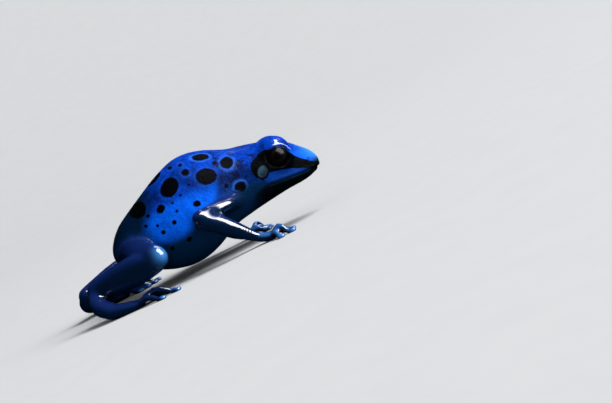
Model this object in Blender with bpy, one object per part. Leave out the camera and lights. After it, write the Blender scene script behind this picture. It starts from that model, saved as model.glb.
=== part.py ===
"""A blue poison dart frog at life size, sitting with its head raised.

Blender 4.5, metres, +Z up. The frog looks along +X, its right side is -Y, and it rests on
small flats at Z = 0. The sizes below are in millimetres, and MM turns them into metres.
"""

import math

import bmesh
import bpy
from mathutils import Vector

MM = 0.001

# The trunk and head are one smooth form from the vent to the snout, parted at the neck.
VENT_X = -15.4
SNOUT_X = 26.7
NECK_X = 12.6
RUMP_ROUND = 4.6
SNOUT_ROUND = 2.5
END_TURNS = (0.12, 0.35, 0.62, 0.86)
END_CLEAR = 0.6
GAP = 0.3

# Each row: how far forward, then the heights of the back, of the widest line and of the
# belly, then half the width, and how square the section is (2 is an ellipse).
OUTLINE = (
    (VENT_X, 12.4, 8.6, 4.8, 4.4, 2.0),
    (-11.0, 14.4, 8.2, 4.3, 5.9, 2.05),
    (-6.0, 17.0, 7.6, 2.1, 7.9, 2.1),
    (-1.5, 19.2, 7.4, 1.3, 9.0, 2.1),
    (3.0, 20.5, 7.8, 2.3, 8.8, 2.1),
    (7.5, 19.7, 8.6, 4.5, 7.7, 2.1),
    (11.5, 17.9, 9.0, 5.2, 6.8, 2.15),
    (15.5, 16.95, 9.0, 5.8, 6.7, 2.3),
    (19.5, 15.7, 8.8, 6.2, 5.7, 2.5),
    (21.5, 14.85, 8.7, 6.2, 4.95, 2.6),
    (23.2, 13.4, 8.6, 6.3, 4.25, 2.7),
    (24.8, 11.95, 8.55, 6.6, 3.7, 2.7),
    (SNOUT_X, 11.4, 8.5, 7.0, 3.0, 2.7),
)

# Features of the head. The mouth runs from its corner, under the ear, to the snout.
MOUTH_CORNER = (15.3, 8.8)
MOUTH_FRONT = (25.6, 7.5)
MOUTH_GROOVE = 0.24
MOUTH_STEPS = 14
LIP_ROLL = 0.62
LIP_SUNK = 0.38
LIP_FRONT = 0.25
EYE = (19.4, 4.6, 12.6)
EYE_RADIUS = 2.2
EYE_AXIS = (0.12, 1.0, 0.14)
BROW = (19.25, 3.1, 13.7)
BROW_HALVES = (3.2, 3.1, 2.85)
SOCKET_RADIUS = 3.0
SOCKET_IN = 0.9
LID_RING = 2.36
LID_ROLL = 0.42
LID_OUT = 1.0
NOSTRIL = (24.5, 9.5)
NOSTRIL_RADIUS = 0.3
EAR = (15.8, 11.5)
EAR_HALF_LENGTH = 0.85
EAR_HALF_HEIGHT = 1.12
EAR_HALF_DEPTH = 0.42
EAR_SUNK = 0.18
EAR_TILT = math.radians(48)

# Legs. Each row is a place on the right side (how far forward, how far out, how high),
# then half the thickness across and upright.
UPPER_ARM = (
    (10.0, 4.6, 8.6, 1.75, 1.75),
    (6.9, 8.7, 9.0, 1.45, 1.3),
    (1.7, 11.1, 9.2, 1.45, 1.5),
)
FOREARM = (
    (1.6, 11.1, 8.8, 1.5, 1.65),
    (5.0, 11.1, 6.1, 1.55, 1.65),
    (9.0, 10.3, 2.0, 1.0, 1.0),
)
PALM = (
    (9.0, 10.3, 1.85, 0.95, 0.9),
    (10.4, 10.5, 1.1, 1.25, 0.85),
    (11.8, 10.7, 0.65, 1.5, 0.8),
)
THIGH = (
    (-11.4, 2.6, 8.1, 3.3, 3.1),
    (-10.6, 9.6, 8.1, 2.8, 2.5),
    (-8.1, 16.2, 6.7, 1.95, 2.3),
)
SHANK = (
    (-8.5, 16.0, 6.3, 1.75, 2.15),
    (-13.4, 12.8, 6.1, 1.95, 2.75),
    (-20.6, 8.0, 5.5, 1.5, 1.8),
)
TARSUS = (
    (-20.8, 8.0, 5.0, 1.45, 1.6),
    (-21.1, 10.6, 3.0, 1.65, 1.65),
    (-19.2, 13.2, 1.35, 1.7, 1.45),
)
SOLE = (
    (-19.3, 13.2, 1.3, 1.6, 1.35),
    (-17.1, 14.2, 1.0, 1.75, 1.15),
    (-14.8, 14.6, 0.65, 1.95, 0.85),
)

# Digits, from the innermost: where the root sits across the front of the palm or sole,
# the turn outwards in degrees, the length, and the height of the bend.
FINGERS = (
    (-1.05, -28, 3.0, 1.0),
    (-0.4, 3, 3.6, 1.3),
    (0.35, 36, 4.5, 1.9),
    (0.95, 66, 3.5, 1.1),
)
TOES = (
    (-1.45, -40, 3.4, 1.0),
    (-0.85, -20, 4.8, 1.3),
    (-0.2, -6, 6.3, 1.4),
    (0.5, 5, 7.4, 1.9),
    (1.25, 24, 5.2, 1.2),
)
ROOT_AHEAD = 0.5
ROOT_HEIGHT = 0.7
ROOT_HALF = 0.6
KNUCKLE_HALF = 0.5
DIGIT_HALF = 0.46
BEND_SHARES = (0.0, 0.25, 0.55, 0.8, 1.0)
DISC_HALF = 0.86
DISC_LENGTH = 1.0
DISC_THICK = 0.37
DISC_HEIGHT = 0.27

# In this pose the left limbs sit further back than the right ones, and the left leg lower.
SET_BACK = {"right": {"arm": 0.0, "leg": 0.0}, "left": {"arm": 2.0, "leg": 2.6}}
LOWERED = {"right": {"arm": 0.0, "leg": 0.0}, "left": {"arm": 0.0, "leg": 1.4}}
SIDE_SIGN = {"right": -1.0, "left": 1.0}

# The middle of the whole frog, which is put at the origin.
MIDDLE = Vector((0.65, 0.0, 0.0))

BODY_SIDES = 28
LIMB_SIDES = 12
DIGIT_SIDES = 8

SKIN_COLOURS = {
    "back": (0.004, 0.045, 0.62, 1.0),
    "limb": (0.003, 0.012, 0.11, 1.0),
    "ear": (0.02, 0.03, 0.05, 1.0),
    "eye": (0.004, 0.004, 0.006, 1.0),
}


def clear_scene():
    """Removes every object, so that the script starts from nothing."""
    for obj in list(bpy.data.objects):
        bpy.data.objects.remove(obj, do_unlink=True)


def make_material(name, colour, roughness):
    """A moist skin or eye surface of one colour."""
    material = bpy.data.materials.new(name)
    material.use_nodes = True
    shader = material.node_tree.nodes["Principled BSDF"]
    shader.inputs["Base Color"].default_value = colour
    shader.inputs["Roughness"].default_value = roughness
    shader.inputs["Metallic"].default_value = 0.0
    return material


def blend_rows(rows, at):
    """The row at a place along rows that start with it, on a smooth curve through them."""
    last = len(rows) - 1
    k = max(0, min(last - 1, sum(row[0] <= at for row in rows) - 1))
    span = rows[k + 1][0] - rows[k][0]
    t = (at - rows[k][0]) / span

    def slope(i, column):
        before = rows[max(i - 1, 0)]
        after = rows[min(i + 1, last)]
        return (after[column] - before[column]) / (after[0] - before[0]) * span

    return [
        (2 * t**3 - 3 * t**2 + 1) * rows[k][column]
        + (t**3 - 2 * t**2 + t) * slope(k, column)
        + (3 * t**2 - 2 * t**3) * rows[k + 1][column]
        + (t**3 - t**2) * slope(k + 1, column)
        for column in range(1, len(rows[0]))
    ]


def dome(distance, length):
    """How much of a section is left at a distance from a rounded end."""
    if distance >= length:
        return 1.0
    return math.sqrt(max(0.0, 1.0 - (1.0 - distance / length) ** 2))


def body_section(x, grow=0.0):
    """Heights of back, widest line and belly, half width and squareness of the body at x."""
    back, side, belly, half, square = blend_rows(OUTLINE, min(max(x, VENT_X), SNOUT_X))
    left = dome(x - VENT_X + grow, RUMP_ROUND) * dome(SNOUT_X + grow - x, SNOUT_ROUND)
    back = side + (back - side + grow) * left
    belly = side - (side - belly + grow) * left
    return back, side, belly, (half + grow) * left, square


def body_ring(x, grow):
    """The body's section at x as a ring of points."""
    back, side, belly, half, square = body_section(x, grow)
    ring = []
    for k in range(BODY_SIDES):
        angle = 2 * math.pi * k / BODY_SIDES
        across = math.copysign(abs(math.cos(angle)) ** (2 / square), math.cos(angle))
        upright = math.copysign(abs(math.sin(angle)) ** (2 / square), math.sin(angle))
        reach = back - side if upright > 0 else side - belly
        ring.append(Vector((x, half * across, side + reach * upright)))
    return ring


def skin_surface(x, z, sign, out=0.0):
    """The point of the body's flank at x and z, and the direction straight out of it."""

    def half_at(x_here, z_here):
        back, side, belly, half, square = body_section(x_here)
        reach = back - side if z_here > side else side - belly
        share = min(1.0, abs(z_here - side) / reach)
        return half * (1 - share**square) ** (1 / square)

    step = 0.05
    along = (half_at(x + step, z) - half_at(x - step, z)) / (2 * step)
    up = (half_at(x, z + step) - half_at(x, z - step)) / (2 * step)
    normal = Vector((-along, sign, -up)).normalized()
    return Vector((x, sign * half_at(x, z), z)) + out * normal, normal


def loft(rings, start_tip=None, end_tip=None):
    """A closed mesh over rings of equal count. An end is a tip point, or flat without one."""
    shape = bmesh.new()
    loops = [[shape.verts.new(point) for point in ring] for ring in rings]
    count = len(rings[0])
    for first, second in zip(loops, loops[1:]):
        for k in range(count):
            after = (k + 1) % count
            shape.faces.new((first[k], first[after], second[after], second[k]))
    for loop, tip in ((loops[0], start_tip), (loops[-1], end_tip)):
        if tip is None:
            shape.faces.new(loop)
            continue
        point = shape.verts.new(tip)
        for k in range(count):
            shape.faces.new((loop[k], loop[(k + 1) % count], point))
    bmesh.ops.recalc_face_normals(shape, faces=shape.faces)
    return shape


def object_from(shape, name):
    """An object from a bmesh in millimetres about the frog, put in metres about MIDDLE."""
    for vert in shape.verts:
        vert.co = (vert.co - MIDDLE) * MM
    mesh = bpy.data.meshes.new(name)
    shape.to_mesh(mesh)
    shape.free()
    obj = bpy.data.objects.new(name, mesh)
    bpy.context.scene.collection.objects.link(obj)
    return obj


def body_length(start, end, steps, grow=0.0):
    """The body between two places along it. A place at the vent or the snout is rounded."""
    tips = [None, None]
    places = [start + (end - start) * k / steps for k in range(steps + 1)]
    turns = [1 - math.cos(share * math.pi / 2) for share in END_TURNS]
    if start == VENT_X:
        tips[0] = Vector((VENT_X - grow, 0, body_section(VENT_X)[1]))
        near = [VENT_X - grow + RUMP_ROUND * turn for turn in turns]
        places = near + [x for x in places if x > near[-1] + END_CLEAR]
    if end == SNOUT_X:
        tips[1] = Vector((SNOUT_X + grow, 0, body_section(SNOUT_X)[1]))
        near = [SNOUT_X + grow - SNOUT_ROUND * turn for turn in turns]
        places = [x for x in places if x < near[-1] - END_CLEAR] + near[::-1]
    return loft([body_ring(x, grow) for x in places], *tips)


def whole_body(grow):
    """The grown trunk and head, which the limbs are cut clear of."""
    return body_length(VENT_X, SNOUT_X, 26, grow)


def smooth_path(rows, steps):
    """Rows read evenly from a smooth curve through the given ones."""
    numbered = [(k, *row) for k, row in enumerate(rows)]
    return [
        blend_rows(numbered, (len(rows) - 1) * k / steps) for k in range(steps + 1)
    ]


def cross_ring(place, along, across, upright, sides):
    """An oval ring of points square to a direction, with its halves across and upright."""
    side = along.cross(Vector((0, 0, 1))).normalized()
    up = side.cross(along).normalized()
    turns = [2 * math.pi * k / sides for k in range(sides)]
    return [
        place + side * across * math.cos(turn) + up * upright * math.sin(turn)
        for turn in turns
    ]


def limb(rows, sides=LIMB_SIDES, steps=8, domes=3, grow=0.0):
    """A round-ended length of limb along a smooth curve through rows of place and halves."""
    path = smooth_path(rows, steps)
    places = [Vector(row[:3]) for row in path]
    sections = []
    for k, row in enumerate(path):
        along = (places[min(k + 1, steps)] - places[max(k - 1, 0)]).normalized()
        sections.append((places[k], along, row[3] + grow, row[4] + grow))
    ends = []
    tips = []
    for (place, along, across, upright), way in ((sections[0], -1), (sections[-1], 1)):
        reach = along * way * (across + upright) / 2
        tips.append(place + reach)
        turns = [math.pi / 2 * d / domes for d in range(1, domes)]
        ends.append(
            [
                (place + reach * math.sin(t), along, across * math.cos(t), upright * math.cos(t))
                for t in turns
            ]
        )
    sections = ends[0][::-1] + sections + ends[1]
    return loft([cross_ring(*section, sides) for section in sections], *tips)


def placed(rows, side, part, shares):
    """Rows of the right side, put on a side with their shares of its set-back and drop."""
    back = SET_BACK[side][part]
    down = LOWERED[side][part]
    sign = SIDE_SIGN[side]
    return [
        (x - back * back_share, sign * y, z - down * down_share, *halves)
        for (x, y, z, *halves), (back_share, down_share) in zip(rows, shares)
    ]


def limb_rows(name, side):
    """The rows of a named length of limb on a side of the frog."""
    rows, part, shares = {
        "upper_arm": (UPPER_ARM, "arm", ((0, 0), (0.2, 0), (0.5, 0))),
        "forearm": (FOREARM, "arm", ((0.5, 0), (0.7, 0), (1, 0))),
        "palm": (PALM, "arm", ((1, 0), (1, 0), (1, 0))),
        "thigh": (THIGH, "leg", ((0, 0), (0.5, 0.5), (1, 1))),
        "shank": (SHANK, "leg", ((1, 1), (1, 1), (1, 1))),
        "tarsus": (TARSUS, "leg", ((1, 1), (1, 0.45), (1, 0))),
        "sole": (SOLE, "leg", ((1, 0), (1, 0), (1, 0))),
    }[name]
    return placed(rows, side, part, shares)


def digit_rows(base, side, row):
    """The rows of one finger or toe, arched from its root to a flat disc on the floor."""
    root_across, turn, length, bend = row
    sign = SIDE_SIGN[side]
    end = Vector(base[-1][:3])
    ahead = (end - Vector(base[-2][:3])) * Vector((1, 1, 0))
    ahead.normalize()
    outward = Vector((-ahead.y, ahead.x, 0)) * sign
    turn = math.radians(turn)
    way = ahead * math.cos(turn) + outward * math.sin(turn)
    root = end + ahead * ROOT_AHEAD + outward * root_across
    rising = (ROOT_HEIGHT + bend) / 2 + 0.15
    falling = (bend + DISC_HEIGHT) / 2 + 0.1
    heights = (ROOT_HEIGHT, rising, bend, falling, DISC_HEIGHT, DISC_HEIGHT)
    reaches = [(length - DISC_LENGTH) * share for share in BEND_SHARES] + [length]
    across = (ROOT_HALF, KNUCKLE_HALF, KNUCKLE_HALF, DIGIT_HALF, DIGIT_HALF, DISC_HALF)
    upright = (ROOT_HALF, KNUCKLE_HALF, KNUCKLE_HALF, DIGIT_HALF, DISC_THICK, DISC_THICK)
    rows = []
    for height, reach, wide, high in zip(heights, reaches, across, upright):
        place = root + way * reach
        rows.append((place.x, place.y, height, wide, high))
    return rows


def ball(place, halves, segments, rings):
    """A ball or egg in millimetres, with its halves along X, Y and Z."""
    shape = bmesh.new()
    bmesh.ops.create_uvsphere(shape, u_segments=segments, v_segments=rings, radius=1)
    bmesh.ops.scale(shape, vec=halves, verts=shape.verts)
    bmesh.ops.translate(shape, vec=place, verts=shape.verts)
    return shape


def mirrored(values, sign):
    """A place or direction of the left side, put on the side with this sign of Y."""
    return Vector((values[0], sign * values[1], values[2]))


def eye(side, grow=0.0):
    """One eyeball, seated in its socket and standing a little out of the lids."""
    shape = bmesh.new()
    bmesh.ops.create_uvsphere(shape, u_segments=18, v_segments=10, radius=EYE_RADIUS + grow)
    sign = SIDE_SIGN[side]
    turn = Vector((0, 0, 1)).rotation_difference(mirrored(EYE_AXIS, sign))
    bmesh.ops.rotate(shape, matrix=turn.to_matrix(), verts=shape.verts)
    bmesh.ops.translate(shape, vec=mirrored(EYE, sign), verts=shape.verts)
    return shape


def brow(side):
    """The bulge of skin over one eye."""
    return ball(mirrored(BROW, SIDE_SIGN[side]), BROW_HALVES, 18, 12)


def socket(side):
    """The mound of the head that carries one eye and its lids."""
    sign = SIDE_SIGN[side]
    inward = mirrored(EYE_AXIS, sign).normalized() * -SOCKET_IN
    return ball(mirrored(EYE, sign) + inward, [SOCKET_RADIUS] * 3, 20, 14)


def lids(side):
    """The rolled rim of the upper and lower lid round one eye."""
    sign = SIDE_SIGN[side]
    axis = mirrored(EYE_AXIS, sign).normalized()
    bpy.ops.mesh.primitive_torus_add(
        major_radius=LID_RING, minor_radius=LID_ROLL, major_segments=22, minor_segments=6
    )
    ring = bpy.context.object
    shape = bmesh.new()
    shape.from_mesh(ring.data)
    bpy.data.objects.remove(ring, do_unlink=True)
    turn = Vector((0, 0, 1)).rotation_difference(axis)
    bmesh.ops.rotate(shape, matrix=turn.to_matrix(), verts=shape.verts)
    bmesh.ops.translate(shape, vec=mirrored(EYE, sign) + axis * LID_OUT, verts=shape.verts)
    return shape


def mouth_path(sunk):
    """The line of the mouth round the head, from corner to corner, sunk into the skin."""
    half_path = []
    for k in range(MOUTH_STEPS):
        share = math.sin(math.pi / 2 * k / MOUTH_STEPS)
        x = MOUTH_CORNER[0] + (MOUTH_FRONT[0] - MOUTH_CORNER[0]) * share
        z = MOUTH_CORNER[1] + (MOUTH_FRONT[1] - MOUTH_CORNER[1]) * share
        half_path.append(skin_surface(x, z, 1, -sunk)[0])
    front = Vector((half_path[-1].x + LIP_FRONT, 0, MOUTH_FRONT[1]))
    other = [Vector((p.x, -p.y, p.z)) for p in reversed(half_path)]
    return half_path + [front] + other


def tube(points, radius, sides=6):
    """A thin tube along points, pointed at both ends."""
    rings = [
        cross_ring(here, (after - before).normalized(), radius, radius, sides)
        for before, here, after in zip(points, points[1:], points[2:])
    ]
    return loft(rings, points[0], points[-1])


def lip_roll():
    """The fleshy roll of both lips, which the groove of the mouth parts."""
    return tube(mouth_path(LIP_SUNK), LIP_ROLL, 8)


def mouth_groove():
    """The cut that draws the line of the mouth between the lips."""
    return tube(mouth_path(LIP_SUNK - LIP_ROLL), MOUTH_GROOVE)


def nostril(side):
    """The pit of one nostril."""
    place, normal = skin_surface(*NOSTRIL, SIDE_SIGN[side])
    return ball(place, [NOSTRIL_RADIUS] * 3, 8, 6)


def ear(side, grow=0.0):
    """One eardrum: a thick oval disc lying in the skin behind the eye."""
    place, normal = skin_surface(*EAR, SIDE_SIGN[side], -EAR_SUNK)
    shape = bmesh.new()
    bmesh.ops.create_uvsphere(shape, u_segments=16, v_segments=8, radius=1)
    halves = (EAR_HALF_LENGTH + grow, EAR_HALF_HEIGHT + grow, EAR_HALF_DEPTH + grow)
    bmesh.ops.scale(shape, vec=halves, verts=shape.verts)
    up = Vector((math.sin(EAR_TILT), 0, math.cos(EAR_TILT)))
    fore = up.cross(normal).normalized()
    up = normal.cross(fore)
    for vert in shape.verts:
        x, y, z = vert.co
        vert.co = place + fore * x + up * y + normal * z
    shape.normal_update()
    bmesh.ops.recalc_face_normals(shape, faces=shape.faces)
    return shape


def floor_block():
    """What lies under the floor, which leaves flats where the frog touches it."""
    shape = bmesh.new()
    bmesh.ops.create_cube(shape, size=1)
    bmesh.ops.scale(shape, vec=(80, 80, 10), verts=shape.verts)
    bmesh.ops.translate(shape, vec=(0, 0, -5), verts=shape.verts)
    return shape


def combine(obj, shapes, operation):
    """Joins shapes to an object or cuts them from it, by one Boolean that is applied."""
    if not shapes:
        return
    group = bpy.data.collections.new("operands")
    bpy.context.scene.collection.children.link(group)
    for k, shape in enumerate(shapes):
        other = object_from(shape, f"operand_{k}")
        bpy.context.scene.collection.objects.unlink(other)
        group.objects.link(other)
    modifier = obj.modifiers.new(operation.lower(), "BOOLEAN")
    modifier.operation = operation
    modifier.operand_type = "COLLECTION"
    modifier.collection = group
    modifier.solver = "MANIFOLD"
    graph = bpy.context.evaluated_depsgraph_get()
    result = bpy.data.meshes.new_from_object(obj.evaluated_get(graph))
    obj.modifiers.clear()
    obj.data = result
    for other in list(group.objects):
        bpy.data.objects.remove(other, do_unlink=True)
    bpy.data.collections.remove(group)


def keep_largest(obj):
    """Keeps only the largest closed surface of an object."""
    shape = bmesh.new()
    shape.from_mesh(obj.data)
    bmesh.ops.remove_doubles(shape, verts=shape.verts, dist=0.002 * MM)
    left = set(shape.verts)
    groups = []
    while left:
        queue = [left.pop()]
        group = set(queue)
        while queue:
            for edge in queue.pop().link_edges:
                for vert in edge.verts:
                    if vert in left:
                        left.discard(vert)
                        group.add(vert)
                        queue.append(vert)
        groups.append(group)
    groups.sort(key=len)
    for group in groups[:-1]:
        bmesh.ops.delete(shape, geom=list(group), context="VERTS")
    shape.to_mesh(obj.data)
    shape.free()


def build_node(parts, name, material, forms, clear_of=(), on_floor=False):
    """One named piece: its forms joined, cut clear of its neighbours and of the floor."""
    obj = object_from(forms[0], name)
    combine(obj, list(forms[1:]), "UNION")
    cuts = list(clear_of)
    if on_floor:
        cuts.append(floor_block())
    combine(obj, cuts, "DIFFERENCE")
    keep_largest(obj)
    obj.data.name = name
    obj.data.materials.clear()
    obj.data.materials.append(material)
    obj.data.shade_smooth()
    obj.data.set_sharp_from_angle(angle=math.radians(50))
    bpy.context.scene.collection.objects.unlink(obj)
    parts.objects.link(obj)
    return obj


def make_torso(parts, material):
    """The trunk from the rump to the neck."""
    shape = body_length(VENT_X, NECK_X - GAP / 2, 20)
    return build_node(parts, "torso", material, [shape])


def make_head(parts, material):
    """The head with its brows, lids, lips, line of the mouth and nostrils."""
    forms = [body_length(NECK_X + GAP / 2, SNOUT_X, 18), lip_roll()]
    cuts = [mouth_groove()]
    for side in SIDE_SIGN:
        forms += [brow(side), socket(side), lids(side)]
        cuts += [eye(side, GAP), ear(side, GAP), nostril(side)]
    return build_node(parts, "head", material, forms, cuts)


def make_limb(parts, material, name, side, rows, clear_of, on_floor=False, **shape):
    """One length of a limb, cut clear of what it grows from."""
    forms = [limb(rows, **shape)]
    return build_node(parts, f"{name}_{side}", material, forms, clear_of, on_floor)


def make_arm(parts, material, side):
    """Upper arm, forearm, palm and four fingers of one side."""
    upper = limb_rows("upper_arm", side)
    fore = limb_rows("forearm", side)
    palm = limb_rows("palm", side)
    make_limb(parts, material, "upper_arm", side, upper, [whole_body(GAP)])
    cuts = [limb(upper, grow=GAP), whole_body(GAP)]
    make_limb(parts, material, "forearm", side, fore, cuts)
    make_limb(parts, material, "hand", side, palm, [limb(fore, grow=GAP)], True)
    for k, row in enumerate(FINGERS, 1):
        rows = digit_rows(palm, side, row)
        others = [limb(digit_rows(palm, side, other), grow=GAP, **digit_shape())
                  for other in FINGERS[: k - 1]]
        cuts = [limb(palm, grow=GAP)] + others
        make_limb(parts, material, f"finger_{k}", side, rows, cuts, True, **digit_shape())


def digit_shape():
    """How finely a finger or toe is divided."""
    return {"sides": DIGIT_SIDES, "steps": 8, "domes": 2}


def make_leg(parts, material, side):
    """Thigh, shank, tarsus, foot and five toes of one side."""
    thigh = limb_rows("thigh", side)
    shank = limb_rows("shank", side)
    tarsus = limb_rows("tarsus", side)
    sole = limb_rows("sole", side)
    make_limb(parts, material, "thigh", side, thigh, [whole_body(GAP)])
    cuts = [limb(thigh, grow=GAP), whole_body(GAP)]
    make_limb(parts, material, "shank", side, shank, cuts)
    make_limb(parts, material, "tarsus", side, tarsus, [limb(shank, grow=GAP)], True)
    make_limb(parts, material, "foot", side, sole, [limb(tarsus, grow=GAP)], True)
    for k, row in enumerate(TOES, 1):
        rows = digit_rows(sole, side, row)
        others = [limb(digit_rows(sole, side, other), grow=GAP, **digit_shape())
                  for other in TOES[: k - 1]]
        cuts = [limb(sole, grow=GAP)] + others
        make_limb(parts, material, f"toe_{k}", side, rows, cuts, True, **digit_shape())


def main():
    """Builds the whole frog."""
    clear_scene()
    parts = bpy.data.collections.new("poison_dart_frog")
    bpy.context.scene.collection.children.link(parts)
    blue = make_material("blue_skin", SKIN_COLOURS["back"], 0.3)
    navy = make_material("limb_skin", SKIN_COLOURS["limb"], 0.25)
    drum = make_material("eardrum", SKIN_COLOURS["ear"], 0.3)
    black = make_material("eyeball", SKIN_COLOURS["eye"], 0.05)
    make_torso(parts, blue)
    make_head(parts, blue)
    for side in SIDE_SIGN:
        build_node(parts, f"eye_{side}", black, [eye(side)])
        build_node(parts, f"ear_{side}", drum, [ear(side)])
        make_arm(parts, navy, side)
        make_leg(parts, navy, side)


if __name__ == "__main__":
    main()
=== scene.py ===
"""Looks of a blue poison dart frog: one moist, spotted skin over its solids, and glossy eyes.

Run as a script in Blender 4.5. The frog looks along +X, its right side is -Y, and it sits on
the floor at Z = 0. Lengths below are in millimetres, and MM turns them into metres.
"""

import math
import random

import bmesh
import bpy
import numpy as np
from bpy.props import FloatProperty, FloatVectorProperty, IntProperty, PointerProperty
from mathutils import Matrix, Vector, kdtree
from mathutils.bvhtree import BVHTree


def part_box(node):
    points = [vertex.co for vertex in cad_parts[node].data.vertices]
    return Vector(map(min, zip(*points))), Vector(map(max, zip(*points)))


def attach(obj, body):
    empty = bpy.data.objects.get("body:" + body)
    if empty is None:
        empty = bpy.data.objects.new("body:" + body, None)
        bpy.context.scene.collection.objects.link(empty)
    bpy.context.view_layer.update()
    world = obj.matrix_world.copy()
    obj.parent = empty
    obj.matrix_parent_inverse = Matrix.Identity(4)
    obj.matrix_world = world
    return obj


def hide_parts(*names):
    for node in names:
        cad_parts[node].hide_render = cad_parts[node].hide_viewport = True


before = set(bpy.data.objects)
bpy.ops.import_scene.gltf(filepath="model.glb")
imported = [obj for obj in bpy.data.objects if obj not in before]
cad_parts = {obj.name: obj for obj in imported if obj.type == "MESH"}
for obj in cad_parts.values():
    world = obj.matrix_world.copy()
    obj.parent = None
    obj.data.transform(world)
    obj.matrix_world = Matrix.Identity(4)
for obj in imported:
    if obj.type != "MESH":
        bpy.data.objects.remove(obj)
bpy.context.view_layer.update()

bl_info = {
    "name": "Blue poison dart frog",
    "version": (1, 0, 0),
    "blender": (4, 5, 0),
    "location": "3D View > Sidebar > Frog",
    "description": "Skin, eyes and studio of a blue poison dart frog",
    "category": "Object",
}

MM = 0.001
SIDES = {"right": -1.0, "left": 1.0}

# How the skin is made from the solids: how near two points are one, growth before and trim
# after, in millimetres, the counts of smoothing passes, and how far the zones of those passes
# fade into each other.
MERGE = 0.001
SEAM_FILL = 0.18
TRIM = 0.10
BROAD_PASSES = 70
LIMB_PASSES = 22
FINE_PASSES = 4
FEATURE_PASSES = 2
BROAD_BLEND = 12
LIMB_JOIN = 6
BROW_REACH = (4.2, 5.6)
BROW_BACK = (-2.6, -0.4)
DRUM_REACH = (1.2, 2.0)
LID_REACH = (0.5, 1.1)
DIGITS = ("finger", "toe")
LIMBS = ("upper_arm", "forearm", "hand", "thigh", "shank", "tarsus", "foot")

# The line of the mouth lies on a slope, from its corner to the snout. Its groove and lips start
# so far forward of the corner, or behind it where negative, and set in over its fade.
MOUTH_CORNER = (14.65, 8.8)
MOUTH_SLOPE = -0.126
MOUTH_START = -1.0
MOUTH_FADE = (-0.2, 1.3)
GROOVE_HALF = 0.13
GROOVE_DEPTH = 0.24
LIP_RISE = 0.1
LIP_AWAY = 0.5
LIP_HALF = 0.28
JAW_TUCK = 0.14
JAW_TUCK_TOP = (-0.05, 0.15)
JAW_TUCK_FOOT = (-2.6, -0.6)

# How near a point lies to a feature of the head for its faces to be made finer.
NEAR_EYE = 3.2
NEAR_DRUM = 1.6
NEAR_MOUTH = 0.9
NEAR_NOSTRIL = 0.8
NEAR_LID = 0.75

# Eyelids, nostril and eardrum. The lids' rim and the bare ball begin so far out from the
# ball's middle. The rims of nostril and drum each have a height, and a place and half width.
EYE_AXIS = (0.12, 1.0, 0.14)
EYE_RADIUS = 2.2
LID_CLEAR = 0.03
LID_RING = 2.36
LID_OUT = 1.0
LID_FROM = 0.3
BALL_FROM = 0.8
LID_KEEP = 0.8
LID_SLOPE = 0.35
LID_START = (0.7, 1.5)
LID_END = (3.6, 4.6)
LID_CLOSE = (0.5, 0.16)
LID_INNER = (-0.6, 0.2)
LID_OUTER = (1.75, 2.1)
LID_FALL = (0.08, 0.1, -0.38)
LID_FALL_EDGE = (0.5, 1.3)
NOSTRIL = (23.85, 9.5)
NOSTRIL_HALF = 0.26
NOSTRIL_FLAT = 0.85
NOSTRIL_APART = 0.8
NOSTRIL_DEPTH = 0.3
NOSTRIL_RIM = 0.06
NOSTRIL_RIM_AT = (0.5, 0.2)
DRUM_TILT = math.radians(48)
DRUM_HALVES = (0.9, 1.18)
DRUM_DEEP = 1.2
DRUM_SINK = 0.1
DRUM_SINK_EDGE = (0.75, 1.05)
DRUM_RIM = 0.07
DRUM_RIM_AT = (1.25, 0.2)

# Round spots: how far forward, degrees down from the ridge of the back as seen from the body's
# middle line, length, width, degrees that the length rises forward, and how clear the ring is.
MIDDLE_LINE = 10.5
FLANK_SPOTS = (
    (5.55, 55, 3.7, 3.35, -14, 0.12),
    (-1.3, 47, 4.15, 3.5, 55, 0.08),
    (10.05, 43.7, 2.75, 2.3, 64, 0.5),
    (6.25, 24, 2.95, 2.1, -19, 0.6),
    (10.2, 88, 2.1, 1.85, -16, 0.65),
    (-3.05, 10.5, 3.5, 2.9, -10, 0.1),
    (-8.2, 38, 3.4, 4.9, 19, 0.0),
    (-4.4, 67, 1.8, 1.55, 17, 0.08),
    (2.5, 40, 1.3, 1.5, 4, 0.2),
    (1.8, 82.5, 1.25, 1.15, -25, 0.08),
    (-3.3, 90.5, 0.92, 0.88, -33, 0.1),
    (-2.2, 114, 0.95, 0.9, 0, 0.0),
    (-5.65, 117.5, 0.92, 0.88, 0, 0.0),
    (-5.8, 96, 0.78, 0.75, 0, 0.1),
    (-7.0, 65.5, 0.85, 0.65, -49, 0.0),
    (0.4, 20.5, 0.85, 1.35, 19, 0.1),
    (2.3, 26.5, 0.7, 0.95, 14, 0.2),
    (2.0, 57, 0.62, 0.58, 0, 0.0),
    (-0.2, 64, 0.68, 0.64, 0, 0.0),
    (-2.0, 68, 0.6, 0.58, 0, 0.0),
    (-1.95, 79.5, 0.6, 0.55, 0, 0.0),
    (-6.2, 85.5, 0.55, 0.5, 0, 0.0),
    (-8.1, 77.5, 0.85, 0.65, -41, 0.0),
    (7.95, 78, 0.8, 0.76, 0, 0.1),
    (8.0, 39.5, 0.75, 0.95, 26, 0.0),
)
# Spots on the ridge of the back and head, in the same terms.
RIDGE_SPOTS = (
    (3.4, -4, 2.6, 1.7, 10, 0.4),
    (13.0, 5, 1.7, 1.3, 30, 0.3),
    (-8.6, 3, 2.6, 2.2, 0, 0.2),
    (18.3, -8, 1.5, 1.2, 20, 0.3),
    (21.7, 6, 1.1, 0.9, 0, 0.2),
)
SPOT_SEED = 5
# The left side's spots are the right side's, moved, scaled and turned by up to this much.
SPOT_SIZES = (0.8, 1.25)
SPOT_MOVE = 1.6
SPOT_TURN = 9
SPOT_TILT = 40

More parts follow.
